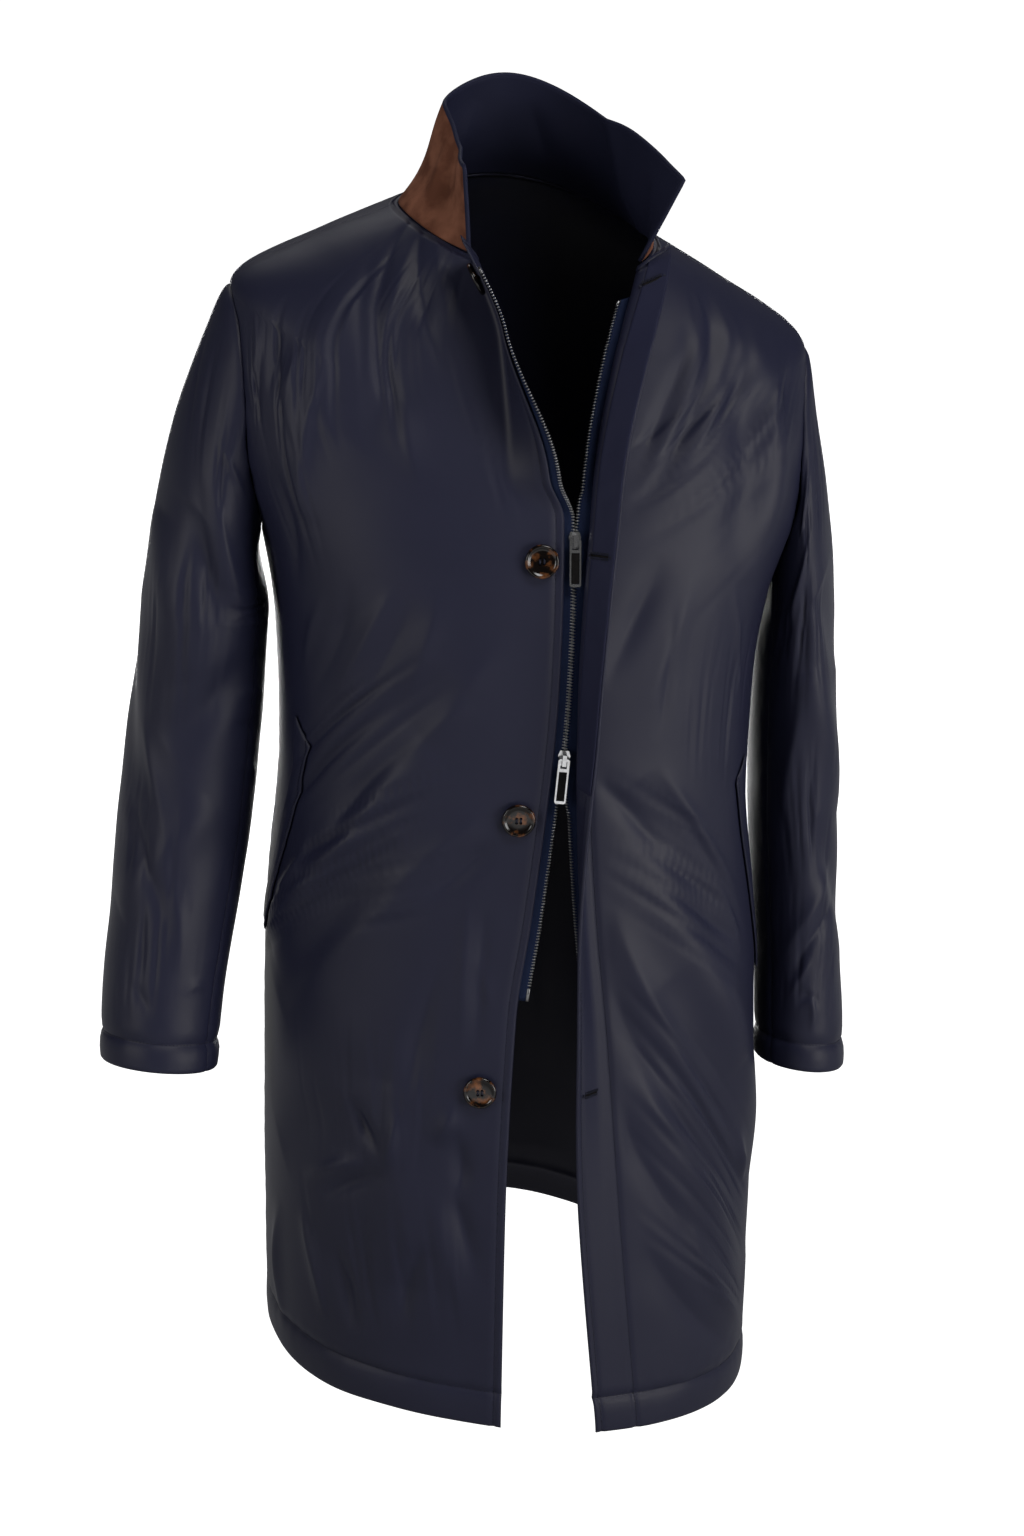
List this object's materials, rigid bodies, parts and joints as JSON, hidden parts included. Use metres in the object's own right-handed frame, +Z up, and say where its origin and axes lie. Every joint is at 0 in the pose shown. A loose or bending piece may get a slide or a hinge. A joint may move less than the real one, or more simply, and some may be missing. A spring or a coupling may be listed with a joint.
{
  "type": "overcoat",
  "caption": "Knee-length overcoat in its worn form with a stand-up suede-backed collar, two-way front zip, button front, slanted welt pockets and long sleeves.",
  "frame": {"origin": "middle of the neck opening at the height of the shoulder seams, where the wearer carries the coat", "axes": "+Z up, the front faces -Y, and the wearer's left is +X"},
  "size_m": [0.6315, 0.3684, 1.1038],
  "materials": {
    "navy_cloth": "dark navy woven technical cloth with a soft brownish sheen",
    "brown_suede": "matt brown napped suede",
    "blue_tape": "dark blue woven zip tape",
    "silver_metal": "polished nickel-plated zinc",
    "dark_inlay": "dark smooth leather inlay",
    "tortoise_button": "polished tortoiseshell-brown resin"
  },
  "bodies": {
    "coat": {"front_right": "navy_cloth", "front_left": "navy_cloth", "front_left_facing": "navy_cloth", "back": "navy_cloth", "sleeve_right_upper": "navy_cloth", "sleeve_right_under": "navy_cloth", "sleeve_left_upper": "navy_cloth", "sleeve_left_under": "navy_cloth", "top_collar": "navy_cloth", "pocket_welt_right": "navy_cloth", "pocket_welt_left": "navy_cloth", "under_collar": "brown_suede", "zip_tape_right": "blue_tape", "zip_tape_left": "blue_tape", "zip_slider_upper": "silver_metal", "zip_slider_lower": "silver_metal", "button_1": "tortoise_button", "button_2": "tortoise_button", "button_3": "tortoise_button", "button_4": "tortoise_button"},
    "upper_pull": {"zip_pull_upper": "silver_metal", "zip_pull_upper_inlay": "dark_inlay"},
    "lower_pull": {"zip_pull_lower": "silver_metal", "zip_pull_lower_inlay": "dark_inlay"}
  },
  "joints": [
    {"name": "upper_pull_hinge", "type": "hinge", "parent": "coat", "child": "upper_pull", "pos_m": [0.03008, -0.15828, -0.23805], "axis": [-1, 0.0027, 0.0068], "range_deg": [0, 150]},
    {"name": "lower_pull_hinge", "type": "hinge", "parent": "coat", "child": "lower_pull", "pos_m": [0.02305, -0.17168, -0.41212], "axis": [-0.9952, 0.0471, 0.086], "range_deg": [0, 150]}
  ]
}
